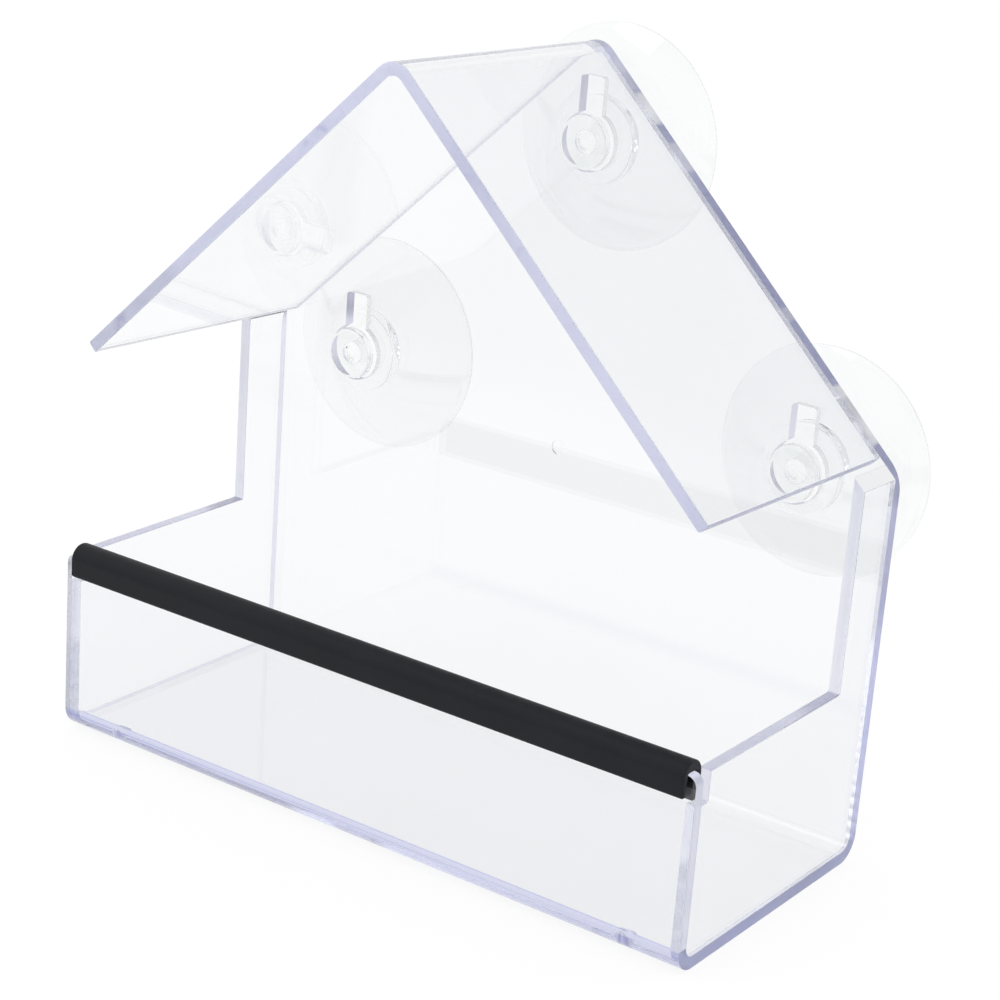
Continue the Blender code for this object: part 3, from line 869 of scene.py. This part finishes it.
class FEEDER_OT_suction_cups(bpy.types.Operator):
    """Turn the soft clear suction cups and hang them in the keyholes"""

    bl_idname = "feeder.suction_cups"
    bl_label = "Suction cups"

    def execute(self, context):
        sheet = context.scene.feeder_sheet
        cup = context.scene.feeder_cup
        for place, (low, high) in cup_boxes.items():
            profile = self.profile(sheet, cup, low.y, high.y, (high.x - low.x) / 2)
            middle = (low + high) / 2
            builder = bmesh.new()
            rings = [add_loop(builder, [(middle.x + u, y, middle.z + v)
                                        for u, v in circle(radius, cup.turn_steps)])
                     for radius, y in profile[1:-1]]
            for first, second in zip(rings, rings[1:]):
                bridge(builder, first, second, closed=True)
            for ring, (_, y) in ((rings[0], profile[0]), (rings[-1], profile[-1])):
                centre = builder.verts.new((middle.x, y, middle.z))
                for first, second in zip(ring, ring[1:] + ring[:1]):
                    builder.faces.new((centre, first, second))
            piece = new_piece(f"clear_{place}_cup", builder, [clear_cup_material()], f"{place}_cup",
                              [f"{place}_suction_cup"])
            piece.data.set_sharp_from_angle(angle=cup_sharp_angle)
        return {"FINISHED"}

    def profile(self, sheet, cup, knob_front, rim, disc_radius):
        """Half section (radius, y) from the dimple round the disc's lip to the hollow."""
        knob_back = sheet_high.y - sheet.thickness - sheet.seam_gap
        collar_front = sheet_high.y + sheet.seam_gap
        small = cup.small_round
        path = [(0.0, knob_front + cup.dimple_depth, 0),
                (cup.dimple_radius * cup.dimple_floor, knob_front + cup.dimple_depth, small),
                (cup.dimple_radius, knob_front, small),
                (cup.knob_radius, knob_front, cup.knob_round),
                (cup.knob_radius, knob_back, small),
                (cup.neck_radius, knob_back, small),
                (cup.neck_radius, collar_front, small),
                (cup.collar_radius, collar_front, cup.collar_round),
                (cup.collar_radius, self.dome(cup, rim, disc_radius, cup.collar_radius), small)]
        for step in range(1, cup.dome_steps):
            radius = cup.collar_radius + (disc_radius - cup.collar_radius) * step / cup.dome_steps
            path.append((radius, self.dome(cup, rim, disc_radius, radius), 0))
        path += [(disc_radius, rim - cup.lip_thickness, small), (disc_radius, rim, small)]
        hollow_radius = disc_radius - cup.lip_width
        for step in range(cup.dome_steps):
            share = 1 - step / cup.dome_steps
            path.append((hollow_radius * share, rim - cup.hollow_depth * (1 - share ** 2), 0))
        path.append((0.0, rim - cup.hollow_depth, 0))
        return rounded_path(path, cup.corner_steps)

    def dome(self, cup, rim, disc_radius, radius):
        return rim - cup.lip_thickness - cup.dome_height * (1 - (radius / disc_radius) ** 2)


class FEEDER_OT_studio(bpy.types.Operator):
    """Set the floor, the white room, the soft box and the camera"""

    bl_idname = "feeder.studio"
    bl_label = "Studio"

    def execute(self, context):
        studio = context.scene.feeder_studio
        self.add_floor(studio)
        self.add_room(context.scene, studio)
        self.add_lamp(context.scene, studio)
        self.add_camera(context.scene, studio)
        context.scene.view_settings.view_transform = "Standard"
        cycles = context.scene.cycles
        cycles.max_bounces = cycles.glossy_bounces = cycles.transmission_bounces = studio.bounces
        return {"FINISHED"}

    def add_floor(self, studio):
        reach = studio.floor_reach
        builder = bmesh.new()
        corners = [(reach * x, reach * y, 0.0) for x, y in ((-1, -1), (1, -1), (1, 1), (-1, 1))]
        builder.faces.new(add_loop(builder, corners))
        floor = add_object("studio_floor", builder, [floor_material()])
        floor.location.z = cad_low.z - studio.floor_drop

    def add_room(self, scene, studio):
        """White room; what the clear pieces reflect of its ceiling is greyer than its walls."""
        world = bpy.data.worlds.new("white_room")
        scene.world = world
        world.use_nodes = True
        tree = world.node_tree
        seen = spread(tree, one_axis(tree, "Generated", "Z", -1100, 0), -700, 0, studio.ceiling_start,
                      studio.ceiling_full, 1.0, studio.ceiling_level, "SMOOTHSTEP")
        rays = add_node(tree, "ShaderNodeLightPath", -1100, -400).outputs
        shown = combine(tree, "ADD", rays["Is Camera Ray"], rays["Is Glossy Ray"], -900, -400)
        any_sharp = combine(tree, "ADD", shown, rays["Is Transmission Ray"], -700, -400)
        level = add_node(tree, "ShaderNodeMix", -300, 0, data_type="FLOAT")
        feed(tree, level, Factor=any_sharp, A=studio.world_level, B=seen)
        feed(tree, tree.nodes["Background"], Color=white, Strength=level.outputs["Result"])

    def add_lamp(self, scene, studio):
        data = bpy.data.lights.new("soft_box", "AREA")
        data.shape = "RECTANGLE"
        data.size = studio.lamp_width
        data.size_y = studio.lamp_length
        data.energy = studio.lamp_power
        lamp = bpy.data.objects.new("soft_box", data)
        lamp.location = studio.lamp_place
        aim = Vector(studio.lamp_aim) - lamp.location
        lamp.rotation_euler = aim.to_track_quat("-Z", "Y").to_euler()
        scene.collection.objects.link(lamp)

    def add_camera(self, scene, studio):
        turn, rise, roll = studio.azimuth, studio.elevation, studio.roll
        back = Vector((math.sin(turn) * math.cos(rise), -math.cos(turn) * math.cos(rise), math.sin(rise)))
        right = Vector((math.cos(turn), math.sin(turn), 0.0))
        up = back.cross(right)
        across = right * math.cos(roll) + up * math.sin(roll)
        upward = up * math.cos(roll) - right * math.sin(roll)
        data = bpy.data.cameras.new("photo_camera")
        data.sensor_width = studio.frame_width
        data.lens = studio.lens
        data.clip_start = studio.near_limit
        camera = bpy.data.objects.new("photo_camera", data)
        camera.matrix_world = Matrix.Translation(Vector(studio.target) + back * studio.distance) @ Matrix(
            (across, upward, back)).transposed().to_4x4()
        scene.collection.objects.link(camera)
        scene.camera = camera


class FEEDER_PT_panel(bpy.types.Panel):
    """Buttons and sizes of the bird feeder"""

    bl_idname = "FEEDER_PT_panel"
    bl_label = "Bird feeder"
    bl_space_type = "VIEW_3D"
    bl_region_type = "UI"
    bl_category = "Bird feeder"

    def draw(self, context):
        for operator in operators:
            self.layout.operator(operator.bl_idname)
        for name, group in setting_groups.items():
            box = self.layout.box()
            box.label(text=group.__doc__)
            for key in group.__annotations__:
                box.prop(getattr(context.scene, name), key)


setting_groups = {
    "feeder_sheet": FeederSheetSettings,
    "feeder_holes": FeederHoleSettings,
    "feeder_cover": FeederCoverSettings,
    "feeder_cup": FeederCupSettings,
    "feeder_studio": FeederStudioSettings,
}
operators = (
    FEEDER_OT_body_sheet,
    FEEDER_OT_side_panels,
    FEEDER_OT_roof,
    FEEDER_OT_perch_cover,
    FEEDER_OT_suction_cups,
    FEEDER_OT_studio,
)


def register():
    for group in setting_groups.values():
        bpy.utils.register_class(group)
    for name, group in setting_groups.items():
        setattr(bpy.types.Scene, name, bpy.props.PointerProperty(type=group))
    for operator in operators:
        bpy.utils.register_class(operator)
    bpy.utils.register_class(FEEDER_PT_panel)


def unregister():
    bpy.utils.unregister_class(FEEDER_PT_panel)
    for operator in reversed(operators):
        bpy.utils.unregister_class(operator)
    for name in setting_groups:
        delattr(bpy.types.Scene, name)
    for group in reversed(setting_groups.values()):
        bpy.utils.unregister_class(group)


def main():
    register()
    bpy.ops.feeder.body_sheet()
    bpy.ops.feeder.side_panels()
    bpy.ops.feeder.roof()
    bpy.ops.feeder.perch_cover()
    bpy.ops.feeder.suction_cups()
    bpy.ops.feeder.studio()


if __name__ == "__main__":
    main()
